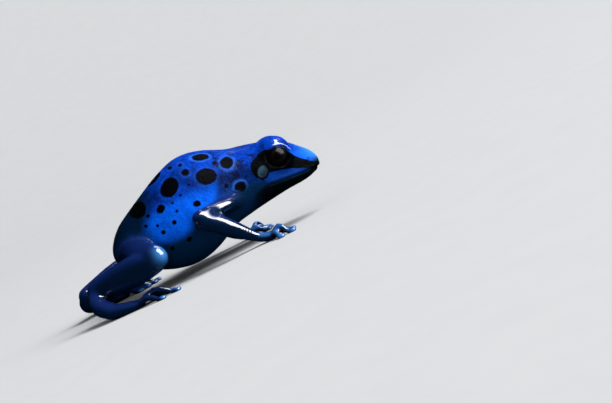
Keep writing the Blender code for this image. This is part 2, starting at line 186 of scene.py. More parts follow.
# Dusky clouds between the spots: how far forward, turn, half size and strength.
CLOUDS = (
    (7.9, 63, 1.7, 0.85), (9.4, 73, 1.7, 0.85), (11.2, 64, 1.5, 0.55), (7.5, 83, 1.6, 0.85),
    (3.3, 60, 1.4, 0.65), (2.2, 51, 1.3, 0.65), (1.0, 40, 1.5, 0.6), (-4.9, 47, 1.9, 0.7),
    (-6.5, 30, 1.9, 0.75), (-4.5, 24, 1.4, 0.5), (4.6, 70, 1.1, 0.35), (12.6, 76, 1.6, 0.6),
    (8.2, 22, 1.0, 0.45), (0.5, 8, 1.3, 0.4), (14.2, 20, 1.3, 0.4),
)

# The black patch on the side of the head, from behind the eardrum over the eye to the snout.
PATCH = (
    (13.35, 11.2), (13.3, 12.6), (13.6, 13.3), (14.25, 13.9), (15.6, 14.5), (17.2, 14.8),
    (18.5, 14.4), (19.6, 14.0), (20.5, 13.1), (21.3, 12.1), (22.1, 11.1), (23.0, 10.1),
    (23.7, 9.5), (24.4, 8.95), (25.4, 8.3), (25.2, 7.6), (24.0, 7.75), (22.6, 8.4), (19.7, 9.75),
    (18.2, 10.2), (16.8, 10.55), (16.0, 10.6), (15.3, 10.1), (14.3, 10.1),
)
PATCH_HALF_WIDTH = 1.2

# The trunk's shades change at lines, given by forward places and heights. Each shade sets in
# over an edge, from so far on one side of its line to so far on the other.
# Below this line the belly, the chest and the throat are navy: partly their own darker blue and
# partly painted shade.
NAVY_LINE = (
    (-20.0, 10.0), (-8.0, 8.3), (-5.0, 7.2), (-2.6, 7.2), (-0.8, 7.8), (0.5, 8.8), (4.0, 9.5),
    (7.0, 10.0), (9.8, 10.3), (12.2, 10.2), (14.0, 9.5), (15.0, 8.85), (22.5, 7.8), (24.0, 8.7),
    (25.0, 9.2), (27.0, 9.4),
)
NAVY_EDGE = (-1.3, 0.7)
# Behind this line, height first and forward second, the rump gets painted shade, navy and nearly
# black.
RUMP_SHADE_LINE = ((6.0, -7.2), (8.0, -7.8), (11.0, -8.5), (14.0, -7.0), (16.5, -6.0), (19.0, -5.4))
RUMP_SHADE_EDGE = (-1.6, 1.6)
RUMP_SHADE_NAVY = 0.95
RUMP_SHADE_BLACK = 0.62
# Below this line the neck and the sides of the face are dusky blue, fading out to the rear: partly
# the neck's own darker tone and partly painted shade under the head and along the lips.
DUSK_LINE = (
    (-20.0, 0.0), (3.0, 9.4), (6.5, 12.0), (9.0, 14.3), (12.0, 14.0), (14.0, 12.3), (16.0, 11.3),
    (20.0, 10.2), (24.5, 8.6), (27.0, 8.3),
)
DUSK_EDGE = (-0.9, 0.9)
DUSK_BACK = (3.0, 6.0)
DUSK_AND_SHADE = 0.86
# Below this line the jaw, the throat and the front of the lips get painted shade, nearly black.
JAW_SHADE_LINE = (
    (7.0, 2.5), (10.0, 6.0), (12.5, 8.5), (14.6, 9.0), (20.0, 8.2), (23.0, 7.9), (24.3, 8.2),
    (25.3, 8.8), (27.0, 9.0),
)
JAW_SHADE_EDGE = (-0.4, 0.5)
JAW_SHADE_BACK = (8.5, 14.0)

# Degrees down from the ridge over which the back's blue and its mottles end, and the neck's zone
# of full mottles, from its rear to its front.
BACK_END = (58, 78)
MOTTLE_END = (52, 74)
MOTTLE_FLANK = 0.2
MOTTLE_BACK = 0.45
NECK_REAR = (5.5, 8.5)
NECK_FRONT = (14.5, 17)

# Real sizes of the patterns. Skin grains are about 0.2 mm, drawn twice as coarse to show.
GRAIN = 0.42
GRAIN_HEIGHT = 0.07
# The skin's roughness, and how much of its grains shows, dry and under a full film.
ROUGHNESSES = (0.6, 0.35)
GRAIN_SHARES = (1.0, 0.12)
MOTTLE = 1.5
FRECKLE = 0.55
EDGE_WAVE = 1.3
EDGE_SWING = 0.55
SPOT_EDGE = (-0.1, 0.09)
# How clear a ring is at distances outside a spot, and for both noises the values over which the
# dark sets in, and how dark it gets.
RING_PROFILE = ((0.05, 0.0), (0.22, 0.8), (0.42, 0.45), (0.75, 0.0))
MOTTLE_RANGE = (0.44, 0.64, 0.85)
FRECKLE_RANGE = (0.5, 0.66, 0.6)
# How much lighter the grains' middles are, and how much of the back's blue clouds the flanks.
FLECK_RANGE = (0.1, 0.35, 0.22)
CLOUD_RANGE = (0.35, 0.7, 0.0, 0.4)

# Limbs: passes that fade their colour into the trunk, the shares of limb over which the spots
# end, the strength of the painted sheen on their upper sides, and how far up the skin faces where
# that painted sheen sets in.
LIMB_BLEND = 14
SPOT_END = (0.4, 0.8)
LIMB_PAINTED_SHEEN = 0.7
LIMB_TOP = (0.1, 0.8)
# How thick the wet film lies on lids, nape, trunk and limbs. On the nape it leaves out the
# spots. It ends where the shoulder meets the trunk, and no light reaches the folds at the elbow,
# each a place with its inner and outer reach.
LID_FILM = 0.9
LID_FILM_EDGE = (0.6, 1.15)
NAPE = (11.8, 16.0)
NAPE_HALF = 2.2
NAPE_FLAT = 1.3
NAPE_FILM = 0.12
NAPE_SPOT_EDGE = (-0.1, 0.2)
TRUNK_FILM = 0.003
LIMB_FILM_EDGE = (0.75, 1.0)
SHOULDER_FRONT = (7.6, 9.0)
SHOULDER_FOOT = (5.0, 6.5)
SHOULDER_REAR = (5.2, 6.0)
SHOULDER_TOP = (9.8, 10.3)
ELBOW_FOLDS = (
    ((4.0, 11.65, 9.2), (0.9, 1.7)),
    ((2.75, 11.6, 10.6), (0.5, 1.15)),
)
# Fine folds cross each wrist, this far apart, along the way of the forearm.
WRIST = (7.4, 10.5, 3.0)
ARM_WAY = (0.74, -0.08, -0.68)
WRIST_HALF = 1.2
FOLD = 0.55
# The discs of the digits are pale. A painted highlight lies on the knees, on the upper sides of
# the hands and on top of the snout's tip.
KNEE_HIGHLIGHT_PLACE = (-7.7, 18.0, 7.1)
KNEE_HIGHLIGHT_HALF = 1.5
KNEE_HIGHLIGHT = 0.75
HAND_HIGHLIGHT_BLEND = 6
HAND_HIGHLIGHT = 0.34
HAND_HIGHLIGHT_TOP = (0.1, 0.7)
SNOUT_TIP = (24.9, 0.0, 10.6)
SNOUT_HIGHLIGHT_HALF = 2.6
SNOUT_HIGHLIGHT_LOW = (8.4, 9.8)
DISC_EDGE = (0.7, 1.3)
DISC_PALE = 0.55
# The eardrum's edge, how grey its lower front is, and where it turns to full grey.
DRUM_EDGE = (0.8, 1.08)
DRUM_GREY = 0.4
DRUM_GREY_EDGE = (-0.6, 0.8)
# The eye: half length and height of its pupil, the pupil's tilt in degrees, the edges of pupil
# and iris, and the bronze flecks.
PUPIL_HALVES = (0.95, 0.72)
PUPIL_RISE = 8
PUPIL_EDGE = (0.0, 0.06)
IRIS_EDGE = (1.5, 1.2)
IRIS_STREAK = 0.16
BRONZE_RANGE = (0.4, 0.75, 0.0, 0.7)
# How far off a point counts as being when nothing is near it, in millimetres.
FAR = 9.0
SHARES = (
    "spot", "ring", "navy", "dusk_and_shade", "jaw_shade", "limb", "back", "painted_sheen", "pale_and_highlight", "drum", "cloud",
    "mottled", "film", "wrist", "along",
)

# Ways from the frog to the lights, their long sides, and their sizes and distances in metres.
KEY_WAY = (0.66, -0.2, 0.68)
KEY_LONG_WAY = (0.32, -0.24, -0.4)
KEY_SIZE = (2.6, 1.6)
FILL_WAY = (-0.12, -0.85, 0.5)
FILL_SIZE = (3.6, 3.6)
LIGHT_DISTANCE = 3.0
STRIP_WAY = (0.72, -0.36, 0.58)
STRIP_LONG_WAY = (0.5, -0.2, -0.75)
STRIP_SIZE = (0.54, 0.38)
RIM_WAY = (0.45, 0.54, 0.71)
RIM_SIZE = (0.3, 0.2)
STRIP_DISTANCE = 0.5
LEVEL_WAY = (1, 0, 0)
SKY = "#E6ECF4"

# The floor's upward sweep, and the size of the paper's faint clouds.
SWEEP_SEGMENTS = 128
SWEEP_STEPS = 12
SWEEP_TURN = math.radians(45)
PAPER_CLOUD = 9.0

# Where the camera looks, how far round to the frog's rear it stands, how high, and its lens.
CAMERA_AIM = (20.35, 0.0, 2.5)
CAMERA_TURN = math.radians(-5)
CAMERA_RISE = math.radians(5)
CAMERA_LENS = 100

# Places of a colour Mix node's sockets, which share their names with those of other kinds.
MIX_A, MIX_B, MIXED = 6, 7, 2


def linear(code):
    """The linear colour of an sRGB hex value, with full alpha."""
    shares = [int(code[k : k + 2], 16) / 255 for k in (1, 3, 5)]
    return [c / 12.92 if c <= 0.04045 else ((c + 0.055) / 1.055) ** 2.4 for c in shares] + [1.0]


def middle(node):
    """The middle of a solid's box, in millimetres."""
    low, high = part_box(node)
    return np.array((low + high) / 2) / MM


def sided(values, side):
    """A direction or place of the left side, as it is on the named side."""
    return np.array((values[0], SIDES[side] * values[1], values[2]))


def unit(vector):
    """A direction of length one."""
    return vector / np.linalg.norm(vector)


def step(value, low, high):
    """0 below low, 1 above high, and smooth between them."""
    share = np.clip((value - low) / (high - low), 0, 1)
    return share * share * (3 - 2 * share)


def bell(value, half):
    """1 at zero, falling smoothly to almost nothing at about twice the half width."""
    return np.exp(-((value / half) ** 2))


class FrogSkin(bpy.types.PropertyGroup):
    """Sizes and colours of the skin."""

    grain: FloatProperty(
        name="Mesh grain", description="Size of the skin's faces", default=0.28 * MM,
        min=0.1 * MM, unit="LENGTH", precision=5,
    )
    flank: FloatVectorProperty(
        name="Flank", description="Blue of the flanks", subtype="COLOR", size=4,
        default=linear("#005CE2"),
    )
    back: FloatVectorProperty(
        name="Back", description="Blue of the back and head", subtype="COLOR", size=4,
        default=linear("#0136A4"),
    )
    # Navy of the belly, chest and throat, their own darker blue deepened by painted shade; on the
    # rump it is painted shade.
    navy: FloatVectorProperty(
        name="Belly", description="Navy of the belly, throat and rump", subtype="COLOR", size=4,
        default=linear("#01203E"),
    )
    limb: FloatVectorProperty(
        name="Limbs", description="Dark blue of the limbs", subtype="COLOR", size=4,
        default=linear("#011630"),
    )
    # Painted sheen: violet blue laid on the upward-facing sides of the limbs.
    painted_sheen: FloatVectorProperty(
        name="Limb tops", description="Violet blue on the upper sides of the limbs",
        subtype="COLOR", size=4, default=linear("#12245E"),
    )
    # Sky blue of the pale discs, also used for the painted highlights on the snout's tip, the
    # knees and the backs of the hands.
    pale_and_highlight: FloatVectorProperty(
        name="Snout tip", description="Sky blue of the snout's tip and the toe discs",
        subtype="COLOR", size=4, default=linear("#3F86D6"),
    )
    spot: FloatVectorProperty(
        name="Spots", description="Near-black of the spots", subtype="COLOR", size=4,
        default=linear("#010204"),
    )
    drum: FloatVectorProperty(
        name="Eardrum", description="Grey-blue of the eardrums", subtype="COLOR", size=4,
        default=linear("#2A4252"),
    )
    fleck: FloatVectorProperty(
        name="Flecks", description="Lighter blue at the middle of each grain", subtype="COLOR",
        size=4, default=linear("#1C66D8"),
    )
    # Dusky blue of the neck and the sides of the face, partly painted shade under the head and
    # along the lips.
    dusk_and_shade: FloatVectorProperty(
        name="Neck", description="Dusky blue of the neck", subtype="COLOR", size=4,
        default=linear("#01256A"),
    )
    cloud: FloatVectorProperty(
        name="Clouds", description="Dark blue of the clouds between the spots", subtype="COLOR",
        size=4, default=linear("#01103A"),
    )
    mottle: FloatVectorProperty(
        name="Mottles", description="Dark blue of the mottles and freckles", subtype="COLOR",
        size=4, default=linear("#010A26"),
    )
    # Painted shade: near-black laid under the jaw, on the throat and the front of the lips, and
    # over the rump.
    jaw_shade: FloatVectorProperty(
        name="Jaw", description="Near-black of the jaw, throat and rump", subtype="COLOR",
        size=4, default=linear("#01080D"),
    )
    ring: FloatVectorProperty(
        name="Rings", description="Pale blue of the rings round the spots", subtype="COLOR",
        size=4, default=linear("#2C70D8"),
    )


class FrogEyes(bpy.types.PropertyGroup):
    """Sizes and colours of the eyes."""

    iris: FloatVectorProperty(
        name="Iris", description="Near-black brown of the iris", subtype="COLOR", size=4,
        default=linear("#070606"),
    )
    bronze: FloatVectorProperty(
        name="Flecks", description="Bronze flecks of the iris", subtype="COLOR", size=4,
        default=linear("#191410"),
    )
    pupil: FloatVectorProperty(
        name="Pupil", description="Black of the pupil", subtype="COLOR", size=4,
        default=linear("#020203"),
    )
    segments: IntProperty(
        name="Segments", description="Divisions round the eyeball", default=72, min=16,
    )


class FrogStage(bpy.types.PropertyGroup):
    """The floor, the lights and the camera."""

    floor_radius: FloatProperty(
        name="Floor radius", description="From the frog to where the floor begins to rise",
        default=0.35, unit="LENGTH",
    )
    bend: FloatProperty(
        name="Bend", description="Radius of the floor's upward sweep", default=1.3, unit="LENGTH",
    )
    paper: FloatVectorProperty(
        name="Paper", description="Pale grey of the floor", subtype="COLOR", size=4,
        default=linear("#B6B7B8"),
    )
    paper_shade: FloatVectorProperty(
        name="Paper shade", description="The floor's slightly darker clouds", subtype="COLOR",
        size=4, default=linear("#B1B2B4"),
    )
    key_power: FloatProperty(
        name="Key power", description="Power of the soft light above", default=190.0,
        unit="POWER",
    )
    fill_power: FloatProperty(
        name="Fill power", description="Power of the wide light by the camera", default=34.0,
        unit="POWER",
    )
    strip_power: FloatProperty(
        name="Strip power", description="Power of the tall strip that the skin reflects",
        default=13.5, unit="POWER",
    )
    rim_power: FloatProperty(
        name="Rim power", description="Power of the sheet above and behind that the skin reflects",
        default=0.9, unit="POWER",
    )
    sky: FloatProperty(
        name="Sky", description="Strength of the light from all round", default=0.16,
    )
    distance: FloatProperty(
        name="Camera distance", description="From the camera to what it looks at",
        default=0.315, unit="LENGTH",
    )
    roll: FloatProperty(
        name="Camera roll", description="How far the camera leans, so that the floor slopes",
        default=math.radians(26), subtype="ANGLE",
    )


def to_object(shape, name):
    """A new object in the scene from a bmesh in metres, which is freed."""
    mesh = bpy.data.meshes.new(name)
    shape.to_mesh(mesh)
    shape.free()
    obj = bpy.data.objects.new(name, mesh)
    bpy.context.scene.collection.objects.link(obj)
    return obj


def apply_modifiers(obj):
    """Puts the result of an object's modifiers into its mesh."""
    graph = bpy.context.evaluated_depsgraph_get()
    result = bpy.data.meshes.new_from_object(obj.evaluated_get(graph))
    obj.modifiers.clear()
    obj.data = result


def flesh_nodes():
    """Names of the solids under the skin: all but the eyeballs."""
    return sorted(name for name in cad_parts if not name.startswith("eye_"))


def grown_flesh():
    """All solids of flesh in one bmesh, each merged and grown so that they overlap."""
    together = bmesh.new()
    for name in flesh_nodes():
        together.from_mesh(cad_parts[name].data)
    bmesh.ops.remove_doubles(together, verts=together.verts, dist=MERGE * MM)
    together.normal_update()
    for vert in together.verts:
        vert.co += vert.normal * SEAM_FILL * MM
    return together


def nearest_solids(obj):
    """The name of the solid that lies nearest to each point of an object's mesh."""
    names = flesh_nodes()
    owners = []
    for name in names:
        corners = {tuple(vert.co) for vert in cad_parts[name].data.vertices}
        owners += [(name, corner) for corner in sorted(corners)]
    tree = kdtree.KDTree(len(owners))
    for k, (name, corner) in enumerate(owners):
        tree.insert(corner, k)
    tree.balance()
    return [owners[tree.find(vert.co)[1]][0] for vert in obj.data.vertices]


def smooth(obj, weights, passes, name):
    """Smooths an object's mesh, by the share that each point's weight gives."""
    group = obj.vertex_groups.new(name=name)
    for level in np.unique(weights):
        if level > 0:
            group.add(np.flatnonzero(weights == level).tolist(), float(level), "REPLACE")
    modifier = obj.modifiers.new(name, "SMOOTH")
    modifier.vertex_group = name
    modifier.factor = 0.5
    modifier.iterations = passes
    apply_modifiers(obj)
    obj.vertex_groups.clear()


def spread(obj, values, passes):
    """Values of a mesh's points, each averaged with its neighbours' a few times."""
    ends = np.empty(len(obj.data.edges) * 2, np.int32)
    obj.data.edges.foreach_get("vertices", ends)
    first, second = ends[0::2], ends[1::2]
    count = np.bincount(ends, minlength=len(values))
    for _ in range(passes):
        total = np.bincount(first, values[second], len(values))
        total += np.bincount(second, values[first], len(values))
        values = (values + total / count) / 2
    return values


def points_of(obj):
    """Places and normals of an object's points, in millimetres."""
    count = len(obj.data.vertices)
    places = np.empty(count * 3)
    obj.data.vertices.foreach_get("co", places)
    normals = np.empty(count * 3)
    obj.data.vertex_normals.foreach_get("vector", normals)
    return places.reshape(-1, 3) / MM, normals.reshape(-1, 3)


def put_points(obj, places):
    """Moves an object's points to places in millimetres."""
    obj.data.vertices.foreach_set("co", (places * MM).astype(np.float32).ravel())
    obj.data.update()


def refine(obj, near):
    """Divides the faces round the points that near marks, for finer features."""
    shape = bmesh.new()
    shape.from_mesh(obj.data)
    shape.verts.ensure_lookup_table()
    edges = [edge for edge in shape.edges if all(near[vert.index] for vert in edge.verts)]
    bmesh.ops.subdivide_edges(shape, edges=edges, cuts=1, use_grid_fill=True)
    shape.to_mesh(obj.data)
    shape.free()


def mouth_height(x):
    """The height of the line of the mouth at a distance forward."""
    return MOUTH_CORNER[1] + (x - MOUTH_CORNER[0]) * MOUTH_SLOPE


def head_features(places):
    """Which points lie near the eyes, eardrums, nostrils or mouth."""
    x, _, z = places.T
    near = np.zeros(len(places), bool)
    for side in SIDES:
        near |= np.linalg.norm(places - middle(f"eye_{side}"), axis=1) < NEAR_EYE
        near |= np.linalg.norm(places - middle(f"ear_{side}"), axis=1) < NEAR_DRUM
    near |= (abs(z - mouth_height(x)) < NEAR_MOUTH) & (x > MOUTH_CORNER[0] + MOUTH_START)
    near |= (abs(x - NOSTRIL[0]) < NEAR_NOSTRIL) & (abs(z - NOSTRIL[1]) < NEAR_NOSTRIL)
    return near


def lid_edges(places):
    """Which points lie along the rim between an eyeball and its lids."""
    near = np.zeros(len(places), bool)
    for side in SIDES:
        away = places - middle(f"eye_{side}")
        reach = np.linalg.norm(away, axis=1)
        outward = away @ unit(sided(EYE_AXIS, side)) > LID_FROM
        near |= (reach < EYE_RADIUS + NEAR_LID) & outward
    return near


def sculpt_mouth(places, normals):
    """Parts the lips with a groove, rolls them and tucks the lower jaw in."""
    x, _, z = places.T
    height = z - mouth_height(x)
    along = step(x - MOUTH_CORNER[0], *MOUTH_FADE)
    outer = step(x - MOUTH_CORNER[0], MOUTH_START, 0)
    push = -GROOVE_DEPTH * bell(height, GROOVE_HALF)
    push += LIP_RISE * bell(abs(height) - LIP_AWAY, LIP_HALF)
    push -= JAW_TUCK * step(-height, *JAW_TUCK_TOP) * step(height, *JAW_TUCK_FOOT)
    return places + normals * (push * along * outer)[:, None]


def lid_distance(places, side):
    """How far each point lies from the middle of the rolled rim of the lids."""
    axis = unit(sided(EYE_AXIS, side))
    away = places - middle(f"eye_{side}")
    out = away @ axis
    across = np.linalg.norm(away - out[:, None] * axis, axis=1)
    return np.hypot(across - LID_RING, out - LID_OUT)


def upper_lid(places, side):
    """1 over the upper lid and the brow of a side, and 0 below the eye."""
    away = places - middle(f"eye_{side}")
    reach = np.linalg.norm(away, axis=1)
    return step(away[:, 2] + LID_SLOPE * away[:, 0], *LID_START) * (1 - step(reach, *LID_END))


def sculpt_lids(places, side):
    """Lays the skin of the socket against the eyeball."""
    centre = middle(f"eye_{side}")
    axis = unit(sided(EYE_AXIS, side))
    away = places - centre
    reach = np.linalg.norm(away, axis=1)
    out = away @ axis
    target = EYE_RADIUS + LID_CLEAR
    close = step(reach, target + LID_CLOSE[0], target + LID_CLOSE[1]) * step(out, *LID_INNER)
    close *= 1 - step(out, *LID_OUTER)
    wanted = centre + away / reach[:, None] * target
    places = places + (wanted - places) * close[:, None]
    over = upper_lid(places, side) * (1 - step(lid_distance(places, side), *LID_FALL_EDGE))
    places = places + sided(LID_FALL, side) * over[:, None]
    away = places - centre
    reach = np.linalg.norm(away, axis=1)
    inside = (reach < target) & (away @ axis > BALL_FROM)
    return np.where(inside[:, None], centre + away / reach[:, None] * target, places)


def sculpt_nostrils(places, normals):
    """Sinks a nostril on each side of the snout."""
    x, y, z = places.T
    away = np.hypot(x - NOSTRIL[0], (z - NOSTRIL[1]) * NOSTRIL_FLAT)
    rim, half = NOSTRIL_RIM_AT
    push = -NOSTRIL_DEPTH * bell(away, NOSTRIL_HALF) + NOSTRIL_RIM * bell(away - rim, half)
    return places + normals * (push * (abs(y) > NOSTRIL_APART))[:, None]


def drum_distance(places, side):
    """How far out each point lies from the eardrum's middle, 1 being its rim."""
    across, upright = DRUM_HALVES
    away = places - middle(f"ear_{side}")
    tilt = np.array((math.sin(DRUM_TILT), 0, math.cos(DRUM_TILT)))
    fore = np.array((math.cos(DRUM_TILT), 0, -math.sin(DRUM_TILT)))
    far = np.hypot(away @ fore / across, away @ tilt / upright)
    return np.where(away[:, 1] * SIDES[side] > -DRUM_DEEP, far, FAR)


def sculpt_drum(places, normals, side):
    """Sinks the eardrum a little inside a rounded rim."""
    far = drum_distance(places, side)
    rim, half = DRUM_RIM_AT
    push = -DRUM_SINK * (1 - step(far, *DRUM_SINK_EDGE)) + DRUM_RIM * bell(far - rim, half)
    return places + normals * push[:, None]


def make_skin_mesh(grain):
    """One closed skin over all the flesh, with the features of the head."""
    skin = to_object(grown_flesh(), "frog_skin")
    remesh = skin.modifiers.new("skin", "REMESH")
    remesh.mode = "VOXEL"
    remesh.voxel_size = grain
    apply_modifiers(skin)
    owners = nearest_solids(skin)
    broad = np.array([float(name in ("torso", "head")) for name in owners])
    limb = np.array([float(name.startswith(LIMBS)) for name in owners])
    broad = np.round(spread(skin, broad, BROAD_BLEND), 2)
    limb = np.round(spread(skin, np.maximum(limb, broad), LIMB_JOIN), 2)
    places = points_of(skin)[0]
    brows = np.zeros(len(places))
    lids = np.zeros(len(places))
    for side in SIDES:
        away = places - middle(f"eye_{side}")
        reach = np.linalg.norm(away, axis=1)
        brow = (1 - step(reach, *BROW_REACH)) * step(away[:, 0], *BROW_BACK)
        brows = np.maximum(brows, brow)
        brows = np.maximum(brows, 1 - step(drum_distance(places, side), *DRUM_REACH))
        lids = np.maximum(lids, 1 - step(lid_distance(places, side), *LID_REACH))
    smooth(skin, np.round(broad * (1 - brows), 2), BROAD_PASSES, "broad")
    smooth(skin, np.round(limb * (1 - LID_KEEP * lids), 2), LIMB_PASSES, "limb")
    smooth(skin, np.ones(len(places)), FINE_PASSES, "fine")
    places, normals = points_of(skin)
    put_points(skin, places - normals * TRIM)
    refine(skin, head_features(points_of(skin)[0]))
    refine(skin, lid_edges(points_of(skin)[0]))
    near = head_features(points_of(skin)[0])
    smooth(skin, near.astype(float), FEATURE_PASSES, "features")
    places, normals = points_of(skin)
    places = sculpt_mouth(places, normals)
    places = sculpt_nostrils(places, normals)
    for side in SIDES:
        places = sculpt_drum(places, normals, side)
        places = sculpt_lids(places, side)
    put_points(skin, places)
    skin.data.shade_smooth()
    return skin


def set_share(obj, name, values):
    """Stores one number for each of an object's points, for its material to read."""
    layer = obj.data.attributes.new(name, "FLOAT", "POINT")
    layer.data.foreach_set("value", values.astype(np.float32))


def all_spots():
    """Every round spot, its turn being less than zero on the frog's left side."""
    spots = list(FLANK_SPOTS + RIDGE_SPOTS)
    dice = random.Random(SPOT_SEED)
    for forward, turn, length, width, tilt, ring in FLANK_SPOTS:
        size = dice.uniform(*SPOT_SIZES)
        spots.append((
            forward + dice.uniform(-SPOT_MOVE, SPOT_MOVE),
            -turn + dice.uniform(-SPOT_TURN, SPOT_TURN), length * size, width * size,
            tilt + dice.uniform(-SPOT_TILT, SPOT_TILT), ring,
        ))
    return spots


def surface(skin, places):
    """A search tree of the skin, in millimetres."""
    return BVHTree.FromPolygons(places.tolist(), [face.vertices for face in skin.data.polygons])


def on_skin(tree, forward, turn):
    """The place on the skin, and its normal, at a turn in radians down from the ridge."""
    out = Vector((0, -math.sin(turn), math.cos(turn)))
    return tree.ray_cast(Vector((forward, 0, MIDDLE_LINE)), out)[:2]


def cloud_share(tree, places):
    """How dusky each point is through the clouds between the spots, alike on both sides."""
    clear = np.ones(len(places))
    folded = places * (1, -1, 1)
    folded[:, 1] = -abs(places[:, 1])
    for forward, turn, half, amount in CLOUDS:
        centre = np.array(on_skin(tree, forward, math.radians(turn))[0])
        clear *= 1 - amount * bell(np.linalg.norm(folded - centre, axis=1), half)
    return 1 - clear


def spot_edges(tree, places):
    """How far each point lies outside the nearest spot's edge, and the ring of that spot."""
    nearest = np.full(len(places), FAR)
    rings = np.zeros(len(places))
    for forward, turn, length, width, tilt, ring in all_spots():
        turn, tilt = math.radians(turn), math.radians(tilt)
        centre, normal = on_skin(tree, forward, turn)
        fore = (Vector((1, 0, 0)) - normal * normal.x).normalized()
        up = normal.cross(fore) * (1 if turn > 0 else -1)
        along = np.array(fore * math.cos(tilt) + up * math.sin(tilt))
        across = np.array(up * math.cos(tilt) - fore * math.sin(tilt))
        away = places - np.array(centre)
        far = np.sqrt(
            (away @ along / length * 2) ** 2 + (away @ across / width * 2) ** 2
            + (away @ np.array(normal) / (length + width)) ** 2
        )
        edge = (far - 1) * math.sqrt(length * width) / 2
        rings = np.where(edge < nearest, ring, rings)
        nearest = np.minimum(edge, nearest)
    return nearest, rings


def patch_edge(places):
    """How far each point lies outside the black patch of the head, seen from the side."""
    x, y, z = places.T
    nearest = np.full(len(places), FAR)
    inside = np.zeros(len(places), bool)
    for start, end in zip(PATCH, PATCH[1:] + PATCH[:1]):
        run, rise = end[0] - start[0], end[1] - start[1]
        share = ((x - start[0]) * run + (z - start[1]) * rise) / (run * run + rise * rise)
        share = np.clip(share, 0, 1)
        gap = np.hypot(x - start[0] - share * run, z - start[1] - share * rise)
        nearest = np.minimum(nearest, gap)
        crosses = (start[1] > z) != (end[1] > z)
        inside ^= crosses & (x < start[0] + run * (z - start[1]) / (rise or 1))
    edge = np.where(inside, -nearest, nearest)
    return np.maximum(edge, PATCH_HALF_WIDTH - abs(y))


def digit_tips(side):
    """The far end of each finger and toe of a side, in millimetres."""
    tips = []
    for palm, digit, count in (("hand", "finger", 4), ("foot", "toe", 5)):
        root = middle(f"{palm}_{side}")
        for k in range(count):
            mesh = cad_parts[f"{digit}_{k + 1}_{side}"].data
            corners = np.array([vert.co for vert in mesh.vertices]) / MM
            tips.append(corners[np.argmax(np.linalg.norm(corners - root, axis=1))])
    return tips


def past(line, along, across, edge):
    """0 on one side of a line, 1 on the other, and smooth over its edge."""
    places, ends = np.array(line).T
    return step(np.interp(along, places, ends) - across, *edge)


def trunk_shades(places, trunk):
    """The shares of navy, dusky blue and near-black on the trunk; the navy and the dusky blue are
    partly painted shade, the near-black is painted shade.
    """
    x, _, z = places.T
    rump_shade = past(RUMP_SHADE_LINE, z, x, RUMP_SHADE_EDGE)
    navy = np.maximum(past(NAVY_LINE, x, z, NAVY_EDGE), RUMP_SHADE_NAVY * rump_shade)
    dusk_and_shade = DUSK_AND_SHADE * past(DUSK_LINE, x, z, DUSK_EDGE) * step(x, *DUSK_BACK)
    jaw_shade = past(JAW_SHADE_LINE, x, z, JAW_SHADE_EDGE) * step(x, *JAW_SHADE_BACK)
    return navy, dusk_and_shade * trunk, np.maximum(jaw_shade, RUMP_SHADE_BLACK * rump_shade) * trunk


def drum_share(places):
    """How grey the eardrums are, fuller toward their upper rear."""
    drum = np.zeros(len(places))
    for side in SIDES:
        inner = 1 - step(drum_distance(places, side), *DRUM_EDGE)
        away = places - middle(f"ear_{side}")
        full = step(away[:, 2] - away[:, 0], *DRUM_GREY_EDGE)
        drum = np.maximum(drum, inner * (DRUM_GREY + (1 - DRUM_GREY) * full))
    return drum


def pale_and_highlight_share(skin, places, normals, owners, limb):
    """How pale the discs are, and how strong the painted highlight is on the snout's tip, the
    knees and the backs of the hands.
    """
    # Painted highlight on top of the snout's tip.
    pale_and_highlight = bell(np.linalg.norm(places - np.array(SNOUT_TIP), axis=1), SNOUT_HIGHLIGHT_HALF)
    pale_and_highlight *= step(places[:, 2], *SNOUT_HIGHLIGHT_LOW)
    knee_highlights = np.zeros(len(places))
    for side in SIDES:
        for tip in digit_tips(side):
            away = np.linalg.norm(places - tip, axis=1)
            pale_and_highlight = np.maximum(pale_and_highlight, DISC_PALE * (1 - step(away, *DISC_EDGE)))
        # Painted highlight on each knee.
        shift = middle(f"thigh_{side}") - middle("thigh_right")
        knee = places - sided(KNEE_HIGHLIGHT_PLACE, side) - (shift[0], 0, shift[2])
        knee_highlights = np.maximum(knee_highlights, bell(np.linalg.norm(knee, axis=1), KNEE_HIGHLIGHT_HALF))
    # Painted highlight on the upper side of each hand.
    hand = np.array([float(name.startswith(("hand", "finger"))) for name in owners])
    hand = spread(skin, hand, HAND_HIGHLIGHT_BLEND) * step(normals[:, 2], *HAND_HIGHLIGHT_TOP)
    return np.maximum(pale_and_highlight, np.maximum(KNEE_HIGHLIGHT * knee_highlights * limb, HAND_HIGHLIGHT * hand))


def arm_shift(side):
    """How far forward a side's forearm lies of the right one's."""
    return np.array((middle(f"forearm_{side}")[0] - middle("forearm_right")[0], 0, 0))


def film_share(places, limb, spots):
    """How thick the wet film lies."""
    x, _, z = places.T
    lids = np.zeros(len(places))
    folds = np.zeros(len(places))
    for side in SIDES:
        rolls = 1 - step(lid_distance(places, side), *LID_FILM_EDGE)
        lids = np.maximum(lids, upper_lid(places, side) * rolls)
        for centre, reach in ELBOW_FOLDS:
            fold = places - sided(centre, side) - arm_shift(side)
            folds = np.maximum(folds, 1 - step(np.linalg.norm(fold, axis=1), *reach))
    nape = bell(np.hypot(x - NAPE[0], (z - NAPE[1]) * NAPE_FLAT), NAPE_HALF)
    nape *= step(spots, *NAPE_SPOT_EDGE)
    film = TRUNK_FILM + np.maximum(LID_FILM * lids, NAPE_FILM * nape)
    shoulder = step(x, *SHOULDER_FRONT) * step(z, *SHOULDER_FOOT)
    shoulder = np.maximum(shoulder, step(x, *SHOULDER_REAR) * step(z, *SHOULDER_TOP))
    return np.maximum(step(limb, *LIMB_FILM_EDGE) * (1 - shoulder) * (1 - folds), film)


